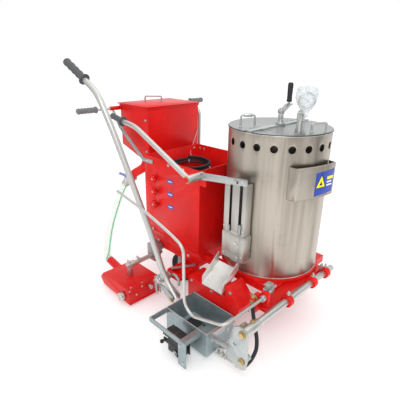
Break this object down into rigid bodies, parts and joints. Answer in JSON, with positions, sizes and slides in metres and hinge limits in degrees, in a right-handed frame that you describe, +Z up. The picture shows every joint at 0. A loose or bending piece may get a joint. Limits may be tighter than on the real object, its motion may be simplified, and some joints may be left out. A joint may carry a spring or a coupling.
{
  "type": "line striping machine",
  "caption": "Hand-pushed road line striping machine with a paint kettle, gas box, bead hopper and a swinging paint shoe.",
  "frame": {"origin": "on the road, under the middle of the machine's outline", "axes": "+X the way it travels, +Y its left side, +Z up"},
  "size_m": [1.322, 1.159, 1.2684],
  "materials": {
    "red_paint": "glossy red powder coat, scuffed",
    "black_rubber": "matte",
    "silver_tube": "silver painted tube",
    "galvanised_steel": "zinc plated, spangled",
    "stainless_sheet": "brushed stainless, dented",
    "black_iron": "heat-blackened",
    "white_paint": "white",
    "grey_rubber": "matte grip",
    "gas_grey": "grey enamel",
    "clear_hose": "clear flexible plastic with a green stripe"
  },
  "bodies": {
    "chassis": {"chassis_frame": "red_paint", "wheel_guard": "red_paint", "main_axle": "silver_tube", "kettle_shell": "stainless_sheet", "melting_pot": "stainless_sheet", "kettle_crossbar": "galvanised_steel", "burner_ring": "black_iron", "thermometer": "galvanised_steel", "document_pocket": "stainless_sheet", "gate_channel": "stainless_sheet", "discharge_chute": "galvanised_steel", "gas_box": "red_paint", "gas_cylinder": "gas_grey", "coiled_gas_hose": "black_rubber", "bead_hopper": "red_paint", "bead_outlet_pipe": "red_paint", "outlet_coupling": "white_paint", "bead_hose": "clear_hose", "dispenser_box": "red_paint", "dispenser_arm": "silver_tube", "dispenser_clamp": "galvanised_steel", "handlebar": "red_paint", "handlebar_stay": "galvanised_steel", "handlebar_post": "silver_tube", "push_grip_right": "grey_rubber", "push_grip_left": "grey_rubber", "rail_beam": "red_paint", "front_rail": "silver_tube", "shoe_gas_hose": "black_rubber", "outrigger_beam": "red_paint"},
    "wheel_right": {"tyre_right": "black_rubber", "rim_right": "silver_tube"},
    "wheel_left": {"tyre_left": "black_rubber", "rim_left": "silver_tube"},
    "caster_swivel": {"caster_fork": "galvanised_steel"},
    "caster_roll": {"caster_wheel": "black_rubber"},
    "front_lid": {"lid_front": "stainless_sheet"},
    "rear_lid": {"lid_rear": "stainless_sheet"},
    "mixer": {"mixer_shaft": "silver_tube", "mixer_crank": "white_paint"},
    "mixer_handle": {"mixer_grip": "black_rubber"},
    "knob_1": {"gas_knob_1": "red_paint"},
    "knob_2": {"gas_knob_2": "red_paint"},
    "knob_3": {"gas_knob_3": "red_paint"},
    "bead_lid": {"hopper_lid": "red_paint"},
    "discharge": {"discharge_lever": "silver_tube", "discharge_grip": "grey_rubber"},
    "discharge_gate": {"gate_slide": "stainless_sheet"},
    "lift": {"lift_lever": "silver_tube", "lift_grip": "grey_rubber"},
    "shoe": {"swing_arm": "galvanised_steel", "shoe_hopper": "galvanised_steel", "shoe_guide_frame": "galvanised_steel", "roller_bracket": "black_iron", "shoe_burner_pipe": "silver_tube"},
    "shoe_roller": {"support_roller": "black_rubber"},
    "paint_gate": {"shoe_gate": "galvanised_steel"},
    "gate_lever": {"gate_rod": "silver_tube"},
    "bead_drum": {"bead_roller": "stainless_sheet"},
    "bead_setting": {"dispenser_knob": "white_paint"}
  },
  "joints": [
    {"name": "wheel_right_spin", "type": "hinge", "parent": "chassis", "child": "wheel_right", "pos_m": [0.237, -0.2235, 0.104], "axis": [0, 1, 0], "continuous": true},
    {"name": "wheel_left_spin", "type": "hinge", "parent": "chassis", "child": "wheel_left", "pos_m": [0.237, 0.4115, 0.104], "axis": [0, 1, 0], "continuous": true},
    {"name": "caster_swivel_turn", "type": "hinge", "parent": "chassis", "child": "caster_swivel", "pos_m": [-0.091, -0.0885, 0.2], "axis": [0, 0, 1], "continuous": true},
    {"name": "caster_wheel_spin", "type": "hinge", "parent": "caster_swivel", "child": "caster_roll", "pos_m": [-0.117, -0.0885, 0.088], "axis": [0, 1, 0], "continuous": true},
    {"name": "front_lid_hinge", "type": "hinge", "parent": "chassis", "child": "front_lid", "pos_m": [0.371, 0.1115, 0.986], "axis": [0, -1, 0], "range_deg": [0, 70]},
    {"name": "rear_lid_hinge", "type": "hinge", "parent": "chassis", "child": "rear_lid", "pos_m": [0.327, 0.1115, 0.986], "axis": [0, 1, 0], "range_deg": [0, 75]},
    {"name": "mixer_turn", "type": "hinge", "parent": "chassis", "child": "mixer", "pos_m": [0.349, 0.1115, 1], "axis": [0, 0, 1], "continuous": true},
    {"name": "mixer_handle_spin", "type": "hinge", "parent": "mixer", "child": "mixer_handle", "pos_m": [0.349, 0.1715, 1.078], "axis": [0, 0, 1], "continuous": true},
    {"name": "gas_knob_1_turn", "type": "hinge", "parent": "chassis", "child": "knob_1", "pos_m": [-0.255, -0.1735, 0.636], "axis": [0, 1, 0], "range_deg": [0, 270]},
    {"name": "gas_knob_2_turn", "type": "hinge", "parent": "chassis", "child": "knob_2", "pos_m": [-0.255, -0.1735, 0.561], "axis": [0, 1, 0], "range_deg": [0, 270]},
    {"name": "gas_knob_3_turn", "type": "hinge", "parent": "chassis", "child": "knob_3", "pos_m": [-0.255, -0.1735, 0.484], "axis": [0, 1, 0], "range_deg": [0, 270]},
    {"name": "bead_lid_hinge", "type": "hinge", "parent": "chassis", "child": "bead_lid", "pos_m": [-0.491, 0.2655, 0.994], "axis": [-1, 0, 0], "range_deg": [0, 85]},
    {"name": "discharge_lever_pivot", "type": "hinge", "parent": "chassis", "child": "discharge", "pos_m": [0.124, -0.2335, 0.742], "axis": [0, -1, 0], "range_deg": [0, 9]},
    {"name": "discharge_gate_slide", "type": "slide", "parent": "chassis", "child": "discharge_gate", "axis": [0, 0, 1], "range_m": [0, 0.04]},
    {"name": "lift_lever_pivot", "type": "hinge", "parent": "chassis", "child": "lift", "pos_m": [0.036, -0.3685, 0.205], "axis": [0, -1, 0], "range_deg": [0, 12]},
    {"name": "shoe_swing", "type": "hinge", "parent": "chassis", "child": "shoe", "pos_m": [0.633, -0.2835, 0.258], "axis": [0, 1, 0], "range_deg": [0, 3.3]},
    {"name": "shoe_roller_spin", "type": "hinge", "parent": "shoe", "child": "shoe_roller", "pos_m": [0.341, -0.5305, 0.036], "axis": [0, 1, 0], "continuous": true},
    {"name": "paint_gate_slide", "type": "slide", "parent": "shoe", "child": "paint_gate", "axis": [-1, 0, 0], "range_m": [0, 0.06]},
    {"name": "gate_lever_pivot", "type": "hinge", "parent": "chassis", "child": "gate_lever", "pos_m": [0.589, -0.2505, 0.314], "axis": [0, 1, 0], "range_deg": [-5, 12]},
    {"name": "bead_drum_spin", "type": "hinge", "parent": "chassis", "child": "bead_drum", "pos_m": [-0.163, -0.3835, 0.052], "axis": [0, 1, 0], "continuous": true},
    {"name": "bead_setting_turn", "type": "hinge", "parent": "chassis", "child": "bead_setting", "pos_m": [-0.101, -0.3555, 0.079], "axis": [1, 0, 0], "range_deg": [0, 270]}
  ],
  "couplings": [
    {"joint": "discharge_gate_slide", "follows": "discharge_lever_pivot", "m_per_rad": 0.223},
    {"joint": "shoe_swing", "follows": "lift_lever_pivot", "ratio": 0.267}
  ]
}
